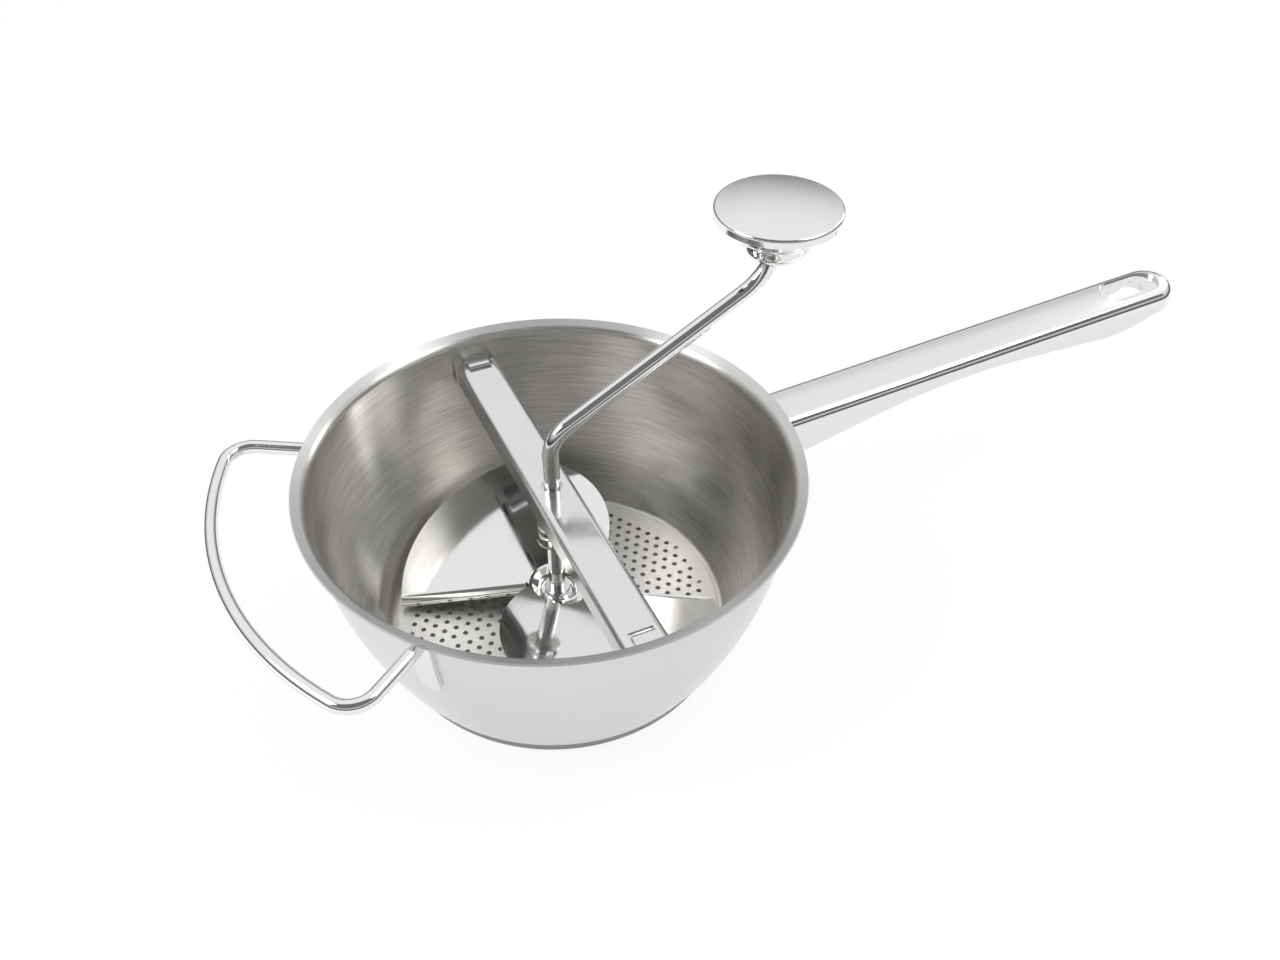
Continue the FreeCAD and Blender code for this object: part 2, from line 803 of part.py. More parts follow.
def hang_column(name, growth, height, z):
    """An upright column with the hang hole's outline, grown all round."""
    return slot_column(
        name, "hang_middle", f"(hang_length + 2 * {growth})", f"(hang_width / 2 + {growth})", height, z
    )


def handle_form(name, inset):
    """The handle's outer form, or the form of its hollow when it is set in by the sheet."""
    half = f"(handle_width / 2 - {inset})"
    section_line = path(
        f"{name}_section",
        YZ,
        [
            (f"-{half}", "-2 * handle_width"),
            (half, "-2 * handle_width"),
            (half, f"-{inset}"),
            ("0", f"handle_crown - {inset}"),
            (f"-{half}", f"-{inset}"),
        ],
        bends={3: "crown_radius"},
        closed=True,
    )
    plan_line = path(
        f"{name}_plan",
        XY,
        [
            ("0", f"-{half}"),
            (f"handle_length - {inset}", f"-{half}"),
            (f"handle_length - {inset}", half),
            ("0", half),
        ],
        bends={1: f"tip_bend - {inset}", 2: f"tip_bend - {inset}"},
        closed=True,
    )
    crowned = push(f"{name}_crowned", section_line, AHEAD, "handle_length")
    outlined = push(f"{name}_outlined", plan_line, UP, "2 * handle_width", "2 * handle_width")
    form = meet(f"{name}_form", crowned, outlined)

    def upper_edge(edge):
        """The edges between the crowned top and the sides."""
        slack = value("handle_sheet")
        middle = edge.valueAt((edge.FirstParameter + edge.LastParameter) / 2)
        at_side = abs(middle.y) > value(half) - slack or middle.x > value("handle_length") - 3 * slack
        level = edge.BoundBox.ZLength < slack and middle.z > -2 * slack
        return f"handle_bend - {inset}" if at_side and level and edge.BoundBox.XMax > slack else None

    rounded = soften(f"{name}_rounded", form, upper_edge)
    recess = slot_column(
        f"{name}_recess",
        "(hang_middle + (recess_reach - recess_start) / 2)",
        f"(hang_length + recess_reach + recess_start + 2 * {inset})",
        f"(hang_width / 2 + recess_margin + {inset})",
        "handle_width",
        f"handle_crown - recess_depth - {inset}",
    )
    return cut(name, rounded, recess)


handle_outside = handle_form("handle_outside", "0")
handle_hollow = handle_form("handle_hollow", "handle_sheet")
skirt_line = path(
    "skirt_line",
    XZ,
    [
        ("0", "handle_width"),
        ("0", "-root_depth"),
        ("waist_place", "-waist_depth"),
        ("grip_place", "-grip_depth"),
        ("handle_length", "-tip_depth"),
        ("handle_length", "handle_width"),
    ],
    bends={2: "waist_bend", 3: "grip_bend"},
    closed=True,
)
skirt_trim = push("skirt_trim", skirt_line, ACROSS, "handle_width", "handle_width")
handle_shell = meet("handle_shell", cut("handle_channel", handle_outside, handle_hollow), skirt_trim)
hang_collar = meet(
    "hang_collar",
    hang_column("collar_column", "handle_sheet", "2 * hang_collar", "-hang_collar"),
    handle_outside,
)
hang_hole = hang_column("hang_hole", "0", "4 * hang_collar", "-2 * hang_collar")
level_handle = cut("level_handle", join("collared_handle", handle_shell, hang_collar), hang_hole)
raised_handle = make("Part::Compound", "raised_handle", Links=[level_handle])
turn(raised_handle, "-handle_rise", ACROSS)
bind(raised_handle, Placement__Base__x="handle_root", Placement__Base__z="handle_height")
keep("long_handle", cut("long_handle", raised_handle, bowl_envelope))

# Loop handle: a bent wire whose ends are flattened into tabs on the wall

loop_line = path(
    "loop_line",
    XY,
    [
        ("loop_root_x", "-loop_root_y"),
        ("loop_corner", "-loop_half_width"),
        ("loop_corner", "loop_half_width"),
        ("loop_root_x", "loop_root_y"),
    ],
    bends={1: "loop_bend", 2: "loop_bend"},
    bulges={1: "loop_front_radius"},
)
loop_rod = bend_rod("loop_rod", loop_line, "loop_wire")
bind(loop_rod, Placement__Base__z="loop_height")
tab_line = path("tab_line", XZ, [FLOOR_CORNER, LIP_ROOT], bulges={0: "wall_radius"})
tab_strip = spin("tab_strip", thicken("tab_section", tab_line, "-tab_sheet"))
tab_end = make("Part::Cylinder", "tab_end")
tab_end.Placement = FreeCAD.Placement(ORIGIN, FreeCAD.Rotation(ACROSS, 90))
bind(tab_end, Radius="tab_width / 2", Height="rim_radius")
bind(tab_end, Placement__Base__x="rim_radius / 2", Placement__Base__z="tab_width / 2 - tab_length")
tab_body = block(
    "tab_body",
    "rim_radius",
    "tab_width",
    "tab_length + loop_wire - tab_width / 2",
    x="rim_radius",
    z="-tab_length + tab_width / 2",
)
tab_form = join("tab_form", tab_body, tab_end)
bind(tab_form, Placement__Base__z="loop_height")
tab = meet("tab", tab_strip, tab_form)
tabs = []
for side, sign in (("left", "-"), ("right", "")):
    tab_copy = make("Part::Compound", f"tab_{side}", Links=[tab])
    tabs.append(turn(tab_copy, f"{sign}loop_spread"))
whole_loop = turn(join("whole_loop", loop_rod, *tabs), "loop_turn")
keep("loop_handle", cut("loop_handle", whole_loop, bowl_envelope))

# Knob: a domed cap on a bowl-shaped shell, with a sleeve that turns on the rod's pin

cap_line = path(
    "cap_line",
    XZ,
    [
        ("0", "knob_edge + knob_crown"),
        ("knob_radius", "knob_edge"),
        ("knob_radius", "knob_edge - knob_skirt"),
    ],
    bulges={0: "-(knob_radius ^ 2 + knob_crown ^ 2) / (2 * knob_crown)"},
)
shell_line = path(
    "shell_line",
    XZ,
    [
        ("mouth_radius", "knob_bottom"),
        ("knob_base_radius", "knob_bottom"),
        ("waist_radius", "waist_height"),
        ("knob_radius - knob_sheet", "knob_neck"),
        ("knob_radius - knob_sheet", "knob_edge - knob_sheet"),
    ],
    bends={1: "shell_bend", 2: "waist_bend_radius"},
)
shell_blank = spin("shell_blank", thicken("shell_section", shell_line, "knob_sheet"))


def cap_edge(edge):
    """The radius of the bend round the cap's edge, outside and inside."""
    if ring_near(edge, "knob_radius", "knob_edge", value("knob_sheet") / 4):
        return "knob_rim_bend"
    if ring_near(edge, "knob_radius - knob_sheet", "knob_edge - knob_sheet", value("knob_sheet") / 2):
        return "knob_rim_bend - knob_sheet"
    return None


cap_blank = soften("cap_blank", spin("cap_spun", thicken("cap_section", cap_line, "-knob_sheet")), cap_edge)
plate_room = path(
    "plate_room",
    XZ,
    [
        ("0", "knob_bottom"),
        ("knob_base_radius", "knob_bottom"),
        ("waist_radius", "waist_height"),
        ("knob_radius - knob_sheet", "knob_neck"),
        ("0", "knob_neck"),
    ],
    bends={1: "shell_bend", 2: "waist_bend_radius"},
    closed=True,
)
plate_form = meet(
    "plate_form",
    pillar("plate_blank", "knob_radius", "bush_flange", z="bush_bottom"),
    spin("shell_room", plate_room),
)
bush_sleeve = pillar("bush_sleeve", "bush_radius", "bush_length", z="bush_bottom")
bush_bore = pillar("bush_bore", "rod_radius + running_gap", "knob_edge")
bush_blank = cut(
    "bush_blank", join("bush_solid", cut("bush_plate", plate_form, shell_blank), bush_sleeve), bush_bore
)


def at_knob(name, blank):
    """Put a piece that is drawn on the axis round the rod's pin."""
    placed = make("Part::Compound", name, Links=[blank])
    bind(placed, Placement__Base__x="crank_reach * cos(crank_azimuth)")
    bind(placed, Placement__Base__y="crank_reach * sin(crank_azimuth)")
    return keep(name, placed)


at_knob("knob_cap", cap_blank)
at_knob("knob_shell", shell_blank)
at_knob("knob_bush", bush_blank)
clip_places = {
    "knob_stop": "(bush_bottom - end_play - clip_height)",
    "knob_clip": "(bush_top + end_play)",
}
for name, place in clip_places.items():
    at_knob(name, on_shaft(f"{name}_ring", "clip_radius", "rod_radius", "clip_height", place))

# Check every object, then write each piece

doc.recompute()
for thing in doc.Objects:
    if "Invalid" in thing.State or "Error" in thing.State:
        raise RuntimeError(f"{thing.Name} failed to build: {thing.State}")
for name, piece in parts.items():
    if piece.Shape.isNull() or not piece.Shape.isValid():
        raise RuntimeError(f"{name} has no valid shape")
    if len(piece.Shape.Solids) != 1:
        raise RuntimeError(f"{name} is not one solid")

os.makedirs("parts", exist_ok=True)
for name, piece in parts.items():
    piece.Shape.exportStep(os.path.join("parts", f"{name}.step"))
    print(f"{name}: {piece.Shape.Volume:.1f} mm3")
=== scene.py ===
"""Dresses a packed hand cranked food mill in its steel finishes and puts it on a studio stage."""

import math

import bpy
from bpy.props import FloatProperty, FloatVectorProperty, PointerProperty
from bpy.types import Operator, Panel, PropertyGroup
from mathutils import Matrix, Vector


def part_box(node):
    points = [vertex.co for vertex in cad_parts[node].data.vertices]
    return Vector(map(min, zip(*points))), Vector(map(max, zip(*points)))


bl_info = {
    "name": "Food Mill Finishes",
    "version": (1, 0, 0),
    "blender": (4, 5, 0),
    "location": "3D View > Sidebar > Food Mill",
    "description": "Steel finishes, lamps and camera for a hand cranked food mill",
    "category": "Object",
}

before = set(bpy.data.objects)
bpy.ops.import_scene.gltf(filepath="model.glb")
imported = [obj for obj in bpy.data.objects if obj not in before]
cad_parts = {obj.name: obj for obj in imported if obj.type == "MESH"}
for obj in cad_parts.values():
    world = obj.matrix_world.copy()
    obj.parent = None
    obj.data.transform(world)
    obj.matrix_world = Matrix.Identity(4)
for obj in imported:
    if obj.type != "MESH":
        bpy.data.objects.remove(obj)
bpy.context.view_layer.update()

BOWL_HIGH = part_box("bowl")[1]
CAP_LOW, CAP_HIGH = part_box("knob_cap")
KNOB_CENTRE = (CAP_LOW + CAP_HIGH) / 2
FOOT_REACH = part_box("foot_ring")[1].x

# The lip's height at the top of the bowl, which is painted darker as shade, and the part of it that blends
# into the wall
LIP_HEIGHT = 0.0018
LIP_FADE = LIP_HEIGHT / 4

# A vector times this keeps only what lies level
LEVEL = (1.0, 1.0, 0.0)

# Turned lines: how many there are, and how often they wander
TURNED_LINES_PER_METRE = 2400.0
WANDERS_PER_RADIAN = 5.0

# Each mask of straight brushing, with its shares of the finest lines and of their breaks
STRAIGHT_MASKS = (("Lines", 1.0, 1.0), ("Streaks", 0.25, 0.5), ("Patches", 0.03, 0.4))

# Scratches are the edges of cells drawn out along Y and Z, this wide as a share of a cell
SCRATCH_STRETCH = (1.0, 0.12, 0.35)
SCRATCH_WIDTH = 0.03

# The lowest roughness that a mask may give, and how much rougher a smudge makes polished steel
LEAST_ROUGHNESS = 0.02
SMUDGE_BLUR = 1.8

# The wall: how dark its lines go, and how far its patches fall and rise in roughness
WALL_LINE_SHADE = 0.7
WALL_PATCH_FALL = 0.03
WALL_PATCH_RISE = 0.04

# The floor: its gap under the foot, the colour of its cloth, and how much it glows where it is seen
FLOOR_GAP = 0.0005
CLOTH_COLOUR = (0.9, 0.9, 0.9, 1.0)
GLOW_SHARE = 0.9

# The mirrored floor: where its white ends, as a share of its reach, and where its left shade ends
TABLE_EDGE = 1.4
SHADE_START = -0.1
SHADE_END = 0.25

# Each lamp's name, place, width and height
LAMPS = (
    ("left", (-0.82, 0.1, 0.86), 0.5, 0.5),
    ("right", (0.58, -0.3, 0.98), 0.42, 0.42),
    ("far", (0.98, 0.3, 0.55), 0.25, 0.4),
)

# The width of the camera's sensor in millimetres
SENSOR_WIDTH = 36.0

WHITE = (1.0, 1.0, 1.0, 1.0)


# Settings


def colour_setting(name, description, default):
    """A colour that a user may change."""
    return FloatVectorProperty(
        name=name, description=description, default=default, subtype="COLOR", size=3, min=0.0, max=1.0
    )


def share_setting(name, description, default):
    """A share from 0 to 1 that a user may change."""
    return FloatProperty(
        name=name, description=description, default=default, subtype="FACTOR", min=0.0, max=1.0
    )


def direction_setting(name, description, default):
    """One coordinate of a direction in the sky."""
    return FloatProperty(name=name, description=description, default=default, min=-1.0, max=1.0)


def angle_setting(name, description, degrees):
    """An angle, given in degrees."""
    return FloatProperty(
        name=name, description=description, default=math.radians(degrees), unit="ROTATION"
    )


def power_setting(name, default):
    """A lamp's power."""
    return FloatProperty(
        name=name, description=f"Power of the {name.lower()}", default=default, unit="POWER", min=0.0
    )


class FoodMillFinishes(PropertyGroup):
    """Colours and roughness of the mill's steels."""

    wall_colour: colour_setting("Inside wall", "Steel of the brushed inside wall", (0.74, 0.72, 0.69))
    outside_colour: colour_setting("Outside", "Steel of the bowl's outside", (0.74, 0.745, 0.75))
    # The lip's colour is painted shade: the same sheet is darkened so that its rim reflects less light
    lip_painted_shade_colour: colour_setting("Lip", "Steel of the pouring lip", (0.64, 0.64, 0.635))
    # The foot band's colour is painted shade: the steel is darkened to stand in for the shadow under the
    # bowl
    foot_painted_shade_colour: colour_setting("Foot", "Steel of the foot band", (0.30, 0.30, 0.30))
    sieve_colour: colour_setting("Sieve", "Steel of the perforated disc", (0.88, 0.87, 0.85))
    blade_colour: colour_setting("Blade", "Mirror polished steel of the blade", (0.78, 0.78, 0.77))
    bar_colour: colour_setting("Crossbar", "Bright steel of crossbar and hooks", (0.72, 0.72, 0.72))
    wire_colour: colour_setting("Rod and wire", "Polished steel of rod and loop", (0.80, 0.80, 0.80))
    handle_colour: colour_setting("Long handle", "Satin steel of the long handle", (0.80, 0.80, 0.81))
    knob_colour: colour_setting("Knob", "Satin steel of the knob's cap", (0.82, 0.82, 0.83))
    turned_colour: colour_setting("Turned pieces", "Steel of collars and pins", (0.70, 0.69, 0.68))
    spring_colour: colour_setting("Spring", "Drawn wire of the spring", (0.58, 0.58, 0.59))
    wall_roughness: share_setting("Inside wall roughness", "How blurred the inside wall reflects", 0.32)
    outside_roughness: share_setting("Outside roughness", "How blurred the outside reflects", 0.30)
    foot_roughness: share_setting("Foot roughness", "How blurred the foot band reflects", 0.30)
    sheet_roughness: share_setting("Bright sheet roughness", "How blurred the crossbar reflects", 0.13)
    sieve_roughness: share_setting("Sieve roughness", "How blurred the perforated disc reflects", 0.45)
    handle_roughness: share_setting("Handle roughness", "How blurred the handle's top reflects", 0.2)
    knob_roughness: share_setting("Knob roughness", "How blurred the knob's cap reflects", 0.26)
    polish_roughness: share_setting("Polish roughness", "How blurred the polished pieces reflect", 0.06)
    sleeve_roughness: share_setting("Sleeve roughness", "How blurred the eyelet and sleeve reflect", 0.2)
    shaft_roughness: share_setting("Shaft roughness", "How blurred the pins and washers reflect", 0.18)
    spring_roughness: share_setting("Spring roughness", "How blurred the spring reflects", 0.22)


class FoodMillStage(PropertyGroup):
    """Camera, lamps and floor."""

    camera_place: FloatVectorProperty(
        name="Camera place",
        description="Where the camera stands",
        default=(-0.13386, -0.37181, 0.43740),
        subtype="TRANSLATION",
        unit="LENGTH",
    )
    camera_heading: angle_setting("Camera heading", "Turn of the view from +Y towards +X", 25.08)
    camera_pitch: angle_setting("Camera pitch", "How far the view looks down", 41.944)
    camera_roll: angle_setting("Camera roll", "Tilt of the picture", 0.447)
    lens_length: FloatProperty(
        name="Lens",
        description="Focal length on a 36 mm wide sensor",
        default=36.11,
        unit="CAMERA",
        min=1.0,
    )
    floor_reach: FloatProperty(
        name="Floor reach", description="Half the floor's width", default=4.0, unit="LENGTH", min=0.5
    )
    left_power: power_setting("Left lamp", 5.0)
    right_power: power_setting("Right lamp", 3.2)
    far_power: power_setting("Far lamp", 1.3)
    table_place: FloatVectorProperty(
        name="Table place",
        description="Middle of the floor that mirrors white",
        default=(0.1, -0.15, 0.0),
        subtype="TRANSLATION",
        unit="LENGTH",
    )
    table_reach: FloatProperty(
        name="Table reach",
        description="How far mirrored floor stays white",
        default=0.3,
        unit="LENGTH",
        min=0.1,
    )
    floor_shade: share_setting("Floor shade", "How bright the left of the floor mirrors", 0.72)
    dark_level: share_setting("Dark level", "How bright the dark room mirrors", 0.04)
    room_low: direction_setting("Room horizon", "Height at which the room starts to lighten", -0.1)
    room_high: direction_setting("Softbox start", "Height at which the softboxes are full", 0.75)
    screen_ahead: direction_setting("Screen start", "How far ahead of overhead it starts", 0.15)
    screen_behind: direction_setting("Screen depth", "How far ahead of overhead it is full", -0.2)
    screen_level: share_setting("Screen level", "How bright the screen mirrors", 0.25)
    screen_low: direction_setting("Screen foot", "Height of the dark screen's lower edge", 0.42)
    screen_high: direction_setting("Screen body", "Height from which the screen is full", 0.55)
    sky_strength: FloatProperty(
        name="Sky strength", description="Light that the surroundings give", default=0.8, min=0.0
    )


def finishes():
    """The finish settings of the scene."""
    return bpy.context.scene.food_mill_finishes


def stage_settings():
    """The stage settings of the scene."""
    return bpy.context.scene.food_mill_stage


# Shader nodes


def shader_node(tree, kind, inputs=None, **settings):
    """Add a shader node; each input is set to a value or linked to a socket."""
    made = tree.nodes.new(kind)
    for name, setting in settings.items():
        setattr(made, name, setting)
    for name, given in (inputs or {}).items():
        if isinstance(given, bpy.types.NodeSocket):
            tree.links.new(given, made.inputs[name])
        else:
            made.inputs[name].default_value = given
    return made


def number_step(tree, operation, first, second):
    """One step of arithmetic on numbers."""
    return shader_node(tree, "ShaderNodeMath", {0: first, 1: second}, operation=operation).outputs[0]


def mean(tree, first, second):
    """The mean of two numbers."""
    return number_step(tree, "MULTIPLY", number_step(tree, "ADD", first, second), 0.5)


def vector_step(tree, operation, *vectors):
    """One step of arithmetic on vectors."""
    step = shader_node(tree, "ShaderNodeVectorMath", dict(enumerate(vectors)), operation=operation)
    return step.outputs["Vector"]


def vector_measure(tree, operation, *vectors):
    """A number that vectors give, such as a length."""
    step = shader_node(tree, "ShaderNodeVectorMath", dict(enumerate(vectors)), operation=operation)
    return step.outputs["Value"]


def scaled(tree, vector, factor):
    """A vector times a number."""
    step = shader_node(tree, "ShaderNodeVectorMath", {0: vector, "Scale": factor}, operation="SCALE")
    return step.outputs["Vector"]


def coordinate(tree, vector, axis):
    """One coordinate of a vector."""
    return shader_node(tree, "ShaderNodeSeparateXYZ", {0: vector}).outputs[axis]


def spread(tree, given, low, high, start=0.0, end=1.0):
    """Ease from low to high as a number goes from start to end."""
    eased = shader_node(
        tree,
        "ShaderNodeMapRange",
        {"Value": given, "From Min": start, "From Max": end, "To Min": low, "To Max": high},
        interpolation_type="SMOOTHSTEP",
    )
    return eased.outputs["Result"]


def blend_numbers(tree, share, first, second):
    """A number between two, by a share."""
    mixed = shader_node(tree, "ShaderNodeMix", {"Factor": share, "A": first, "B": second})
    return mixed.outputs["Result"]


def blend_colours(tree, share, first, second):
    """A colour between two, by a share."""
    mixed = shader_node(tree, "ShaderNodeMix", {"Factor": share}, data_type="RGBA")
    for socket, given in (("A_Color", first), ("B_Color", second)):
        target = next(entry for entry in mixed.inputs if entry.identifier == socket)
        if isinstance(given, bpy.types.NodeSocket):
            tree.links.new(given, target)
        else:
            target.default_value = given
    return next(entry for entry in mixed.outputs if entry.identifier == "Result_Color")


def new_group(name, inputs, outputs):
    """An empty shader node group with named sockets, and its two end nodes."""
    group = bpy.data.node_groups.new(name, "ShaderNodeTree")
    for socket_name, default in inputs.items():
        kind = "NodeSocketVector" if isinstance(default, tuple) else "NodeSocketFloat"
        socket = group.interface.new_socket(socket_name, in_out="INPUT", socket_type=kind)
        socket.default_value = default
    for socket_name in outputs:
        group.interface.new_socket(socket_name, in_out="OUTPUT", socket_type="NodeSocketFloat")
    given = group.nodes.new("NodeGroupInput").outputs
    result = group.nodes.new("NodeGroupOutput").inputs
    return group, given, result


def streak_noise(tree, place, detail=2.0):
    """Noise at a place that is already stretched."""
    noise = shader_node(tree, "ShaderNodeTexNoise", {"Vector": place, "Scale": 1.0, "Detail": detail})
    return noise.outputs["Fac"]


def build_spun_brushing():
    """Brush lines that run round an upright axis, as a lathe leaves them, and wander a little."""
    group, given, result = new_group(
        "Spun Brushing",
        {
            "Position": (0.0, 0.0, 0.0),
            "Centre": (0.0, 0.0, 0.0),
            "Breaks per Radian": 6.0,
            "Lines per Metre": TURNED_LINES_PER_METRE,
            "Wander": 0.0025,
        },
        ("Lines", "Streaks", "Patches"),
    )
    away = vector_step(group, "SUBTRACT", given["Position"], given["Centre"])
    flat = vector_step(group, "MULTIPLY", away, LEVEL)
    heading = vector_step(group, "NORMALIZE", flat)
    radius = vector_measure(group, "LENGTH", flat)
    along = number_step(group, "ADD", radius, coordinate(group, away, "Z"))
    waves = streak_noise(group, scaled(group, heading, WANDERS_PER_RADIAN))
    shift = number_step(group, "MULTIPLY", waves, given["Wander"])
    rising = number_step(group, "ADD", along, shift)
    falling = number_step(group, "SUBTRACT", along, shift)

    def lines(climb, break_share, line_share):
        """Lines that keep to one climb, with a share of the breaks and of the lines."""
        breaks = number_step(group, "MULTIPLY", given["Breaks per Radian"], break_share)
        pitch = number_step(group, "MULTIPLY", given["Lines per Metre"], line_share)
        level = number_step(group, "MULTIPLY", climb, pitch)
        lift = shader_node(group, "ShaderNodeCombineXYZ", {"Z": level}).outputs[0]
        return streak_noise(group, vector_step(group, "ADD", scaled(group, heading, breaks), lift))

    rising_lines = lines(rising, break_share=1.0, line_share=1.0)
    falling_lines = lines(falling, break_share=0.8, line_share=0.8)
    group.links.new(mean(group, rising_lines, falling_lines), result["Lines"])
    group.links.new(lines(falling, break_share=0.5, line_share=0.35), result["Streaks"])
    group.links.new(lines(along, break_share=0.4, line_share=0.02), result["Patches"])
    return group


def build_straight_brushing():
    """Brush lines that run along X."""
    group, given, result = new_group(
        "Straight Brushing",
        {"Position": (0.0, 0.0, 0.0), "Lines per Metre": 1200.0, "Breaks per Metre": 25.0},
        ("Lines", "Streaks", "Patches"),
    )
    for output, line_share, break_share in STRAIGHT_MASKS:
        lines = number_step(group, "MULTIPLY", given["Lines per Metre"], line_share)
        breaks = number_step(group, "MULTIPLY", given["Breaks per Metre"], break_share)
        stretch = shader_node(group, "ShaderNodeCombineXYZ", {"X": breaks, "Y": lines, "Z": lines})
        place = vector_step(group, "MULTIPLY", given["Position"], stretch.outputs[0])
        group.links.new(streak_noise(group, place), result[output])
    return group


def build_handling_marks():
    """Faint smudges and hairlines on steel that has been handled."""
    group, given, result = new_group(
        "Handling Marks",
        {"Position": (0.0, 0.0, 0.0), "Smudges per Metre": 45.0, "Scratches per Metre": 260.0},
        ("Smudges", "Scratches"),
    )
    smudge_place = scaled(group, given["Position"], given["Smudges per Metre"])
    smudges = streak_noise(group, smudge_place, detail=4.0)
    group.links.new(spread(group, smudges, 0.0, 1.0, start=0.35, end=0.75), result["Smudges"])
    scratch_place = scaled(group, given["Position"], given["Scratches per Metre"])
    drawn_out = vector_step(group, "MULTIPLY", scratch_place, SCRATCH_STRETCH)
    cells = shader_node(
        group,
        "ShaderNodeTexVoronoi",
        {"Vector": drawn_out, "Scale": 1.0, "Randomness": 1.0},
        feature="DISTANCE_TO_EDGE",
    )
    scratches = spread(group, cells.outputs["Distance"], 1.0, 0.0, start=0.0, end=SCRATCH_WIDTH)
    group.links.new(scratches, result["Scratches"])
    return group


GROUP_BUILDERS = {
    "Spun Brushing": build_spun_brushing,
    "Straight Brushing": build_straight_brushing,
    "Handling Marks": build_handling_marks,
}


def use_group(tree, name, inputs):
    """Place a shared effect in a material, building it first if it isn't there yet."""
    group = bpy.data.node_groups.get(name) or GROUP_BUILDERS[name]()
    return shader_node(tree, "ShaderNodeGroup", inputs, node_tree=group).outputs


# Steels


def opaque(colour):
    """A colour with full alpha."""
    return (*colour, 1.0)


def darker(colour, share):
    """A colour turned down to a share."""
    return tuple(channel * share for channel in colour)


class Steel:
    """A steel material under construction: its tree, its shader and the piece's coordinates."""

    def __init__(self, name, colour, roughness):
        self.material = bpy.data.materials.new(name)
        self.material.use_nodes = True
        self.tree = self.material.node_tree
        self.shader = self.tree.nodes["Principled BSDF"]
        self.shader.inputs["Metallic"].default_value = 1.0
        self.coordinates = shader_node(self.tree, "ShaderNodeTexCoord").outputs
        self.colour = colour
        self.roughness = roughness
        self.shader.inputs["Base Color"].default_value = opaque(colour)
        self.shader.inputs["Roughness"].default_value = roughness

    def feed(self, socket, given):
        """Link a socket to one of the shader's inputs."""
        self.tree.links.new(given, self.shader.inputs[socket])

    def vary_colour(self, share, depth):
        """Let the colour fall by a depth where a mask is low."""
        low = opaque(darker(self.colour, 1.0 - depth))
        self.feed("Base Color", blend_colours(self.tree, share, low, opaque(self.colour)))

    def vary_roughness(self, share, swing, polish=None):
        """Let the roughness swing with a mask; given a polish, bends and sides take that instead."""
        low = max(self.roughness - swing, LEAST_ROUGHNESS)
        rough = spread(self.tree, share, low, self.roughness + swing, start=0.25, end=0.75)
        if polish is not None:
            upward = coordinate(self.tree, self.coordinates["Normal"], "Z")
            level = spread(self.tree, upward, 0.0, 1.0, start=0.75, end=0.95)
            rough = blend_numbers(self.tree, level, polish, rough)
        self.feed("Roughness", rough)

    def groove(self, height, depth):
        """Turn a mask into fine relief, its depth in metres."""
        relief = {"Height": height, "Distance": depth, "Strength": 1.0}
        self.feed("Normal", shader_node(self.tree, "ShaderNodeBump", relief).outputs["Normal"])

    def stretch_highlights(self, anisotropy, rotation):
        """Stretch highlights across brush lines that run round the upright axis."""
        tangent = shader_node(self.tree, "ShaderNodeTangent", direction_type="RADIAL", axis="Z")
        self.feed("Tangent", tangent.outputs[0])
        self.shader.inputs["Anisotropic"].default_value = anisotropy
        self.shader.inputs["Anisotropic Rotation"].default_value = rotation


def spun_steel(name, colour, roughness, centre=(0.0, 0.0, 0.0)):
    """Steel turned round an upright axis."""
    steel = Steel(name, colour, roughness)
    brushing = use_group(
        steel.tree,
        "Spun Brushing",
        {
            "Position": steel.coordinates["Object"],
            "Centre": tuple(centre),
            "Breaks per Radian": 1.2,
            "Wander": 0.0005,
        },
    )
    steel.vary_colour(brushing["Streaks"], depth=0.06)
    steel.vary_roughness(brushing["Patches"], swing=0.05)
    steel.groove(brushing["Lines"], depth=0.000002)
    return steel.material


def bowl_steel():
    """The bowl's sheet: brushed wall inside, satin outside, and a darker colour painted on the lip as
    shade.
    """
    settings = finishes()
    steel = Steel("Spun Bowl Steel", settings.wall_colour, settings.wall_roughness)
    tree = steel.tree
    place = steel.coordinates["Object"]
    flat = vector_step(tree, "MULTIPLY", place, LEVEL)
    outward = vector_measure(tree, "DOT_PRODUCT", flat, steel.coordinates["Normal"])
    outside = number_step(tree, "GREATER_THAN", outward, 0.0)
    brushing = use_group(tree, "Spun Brushing", {"Position": place})

    fine_lines = spread(tree, brushing["Lines"], 0.0, 1.0, start=0.4, end=0.6)
    broad_lines = spread(tree, brushing["Streaks"], 0.0, 1.0, start=0.3, end=0.7)
    line_share = mean(tree, fine_lines, broad_lines)
    wall_low = opaque(darker(settings.wall_colour, WALL_LINE_SHADE))
    wall = blend_colours(tree, line_share, wall_low, opaque(settings.wall_colour))
    body = blend_colours(tree, outside, wall, opaque(settings.outside_colour))
    # The top band takes the darker lip colour, painted shade over the same steel
    lip_start = BOWL_HIGH.z - LIP_HEIGHT
    height = coordinate(tree, place, "Z")
    lip = spread(tree, height, 0.0, 1.0, start=lip_start, end=lip_start + LIP_FADE)
    steel.feed("Base Color", blend_colours(tree, lip, body, opaque(settings.lip_painted_shade_colour)))

    smooth_patch = settings.wall_roughness - WALL_PATCH_FALL
    rough_patch = settings.wall_roughness + WALL_PATCH_RISE
    rough_wall = spread(tree, brushing["Patches"], smooth_patch, rough_patch, start=0.3, end=0.7)
    steel.feed("Roughness", blend_numbers(tree, outside, rough_wall, settings.outside_roughness))
    steel.groove(brushing["Lines"], depth=0.000004)
    steel.stretch_highlights(anisotropy=0.9, rotation=0.25)
    return steel.material


def polished_steel(name, colour, roughness):
    """Mirror polished steel with faint smudges and hairlines."""
    steel = Steel(name, colour, roughness)
    marks = use_group(steel.tree, "Handling Marks", {"Position": steel.coordinates["Object"]})
    steel.feed("Roughness", spread(steel.tree, marks["Smudges"], roughness, roughness * SMUDGE_BLUR))
    steel.groove(marks["Scratches"], depth=0.0000015)
    return steel.material


